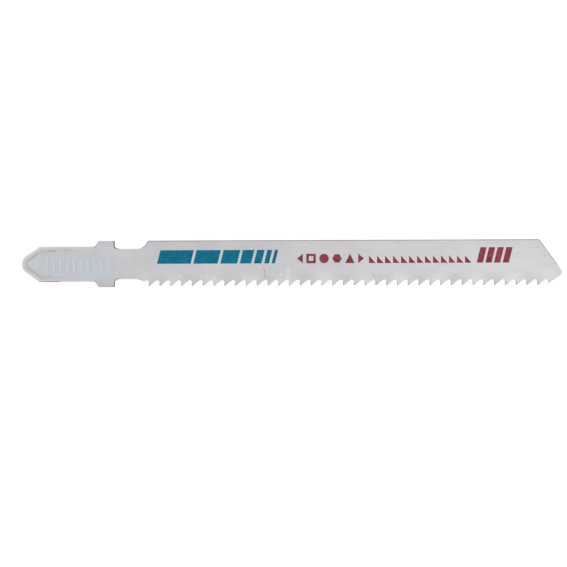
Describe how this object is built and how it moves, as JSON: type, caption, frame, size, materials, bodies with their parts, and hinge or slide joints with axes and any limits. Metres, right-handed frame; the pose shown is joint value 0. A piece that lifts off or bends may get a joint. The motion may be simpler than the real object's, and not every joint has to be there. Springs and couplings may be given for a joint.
{
  "type": "jigsaw blade",
  "caption": "Flat lugged-shank jigsaw blade in light grey with fine wavy-set teeth, a slanted tip and simple teal and red print; it cuts sheet metal when clamped in a jigsaw.",
  "frame": {"origin": "on the middle line of the shank at the front of its lugs, at the surface that the blade lies on", "axes": "+X along the blade from the shank to the tip, +Y across it from the teeth to the spine, +Z through the steel towards the printed side"},
  "size_m": [0.1, 0.0086, 0.0014],
  "materials": {
    "coated_steel": "satin light grey coat",
    "teal_ink": "thin semi-gloss printed ink",
    "red_ink": "thin semi-gloss printed ink"
  },
  "bodies": {
    "root": {"blade": "coated_steel", "teal_print": "teal_ink", "red_print": "red_ink"}
  },
  "joints": []
}
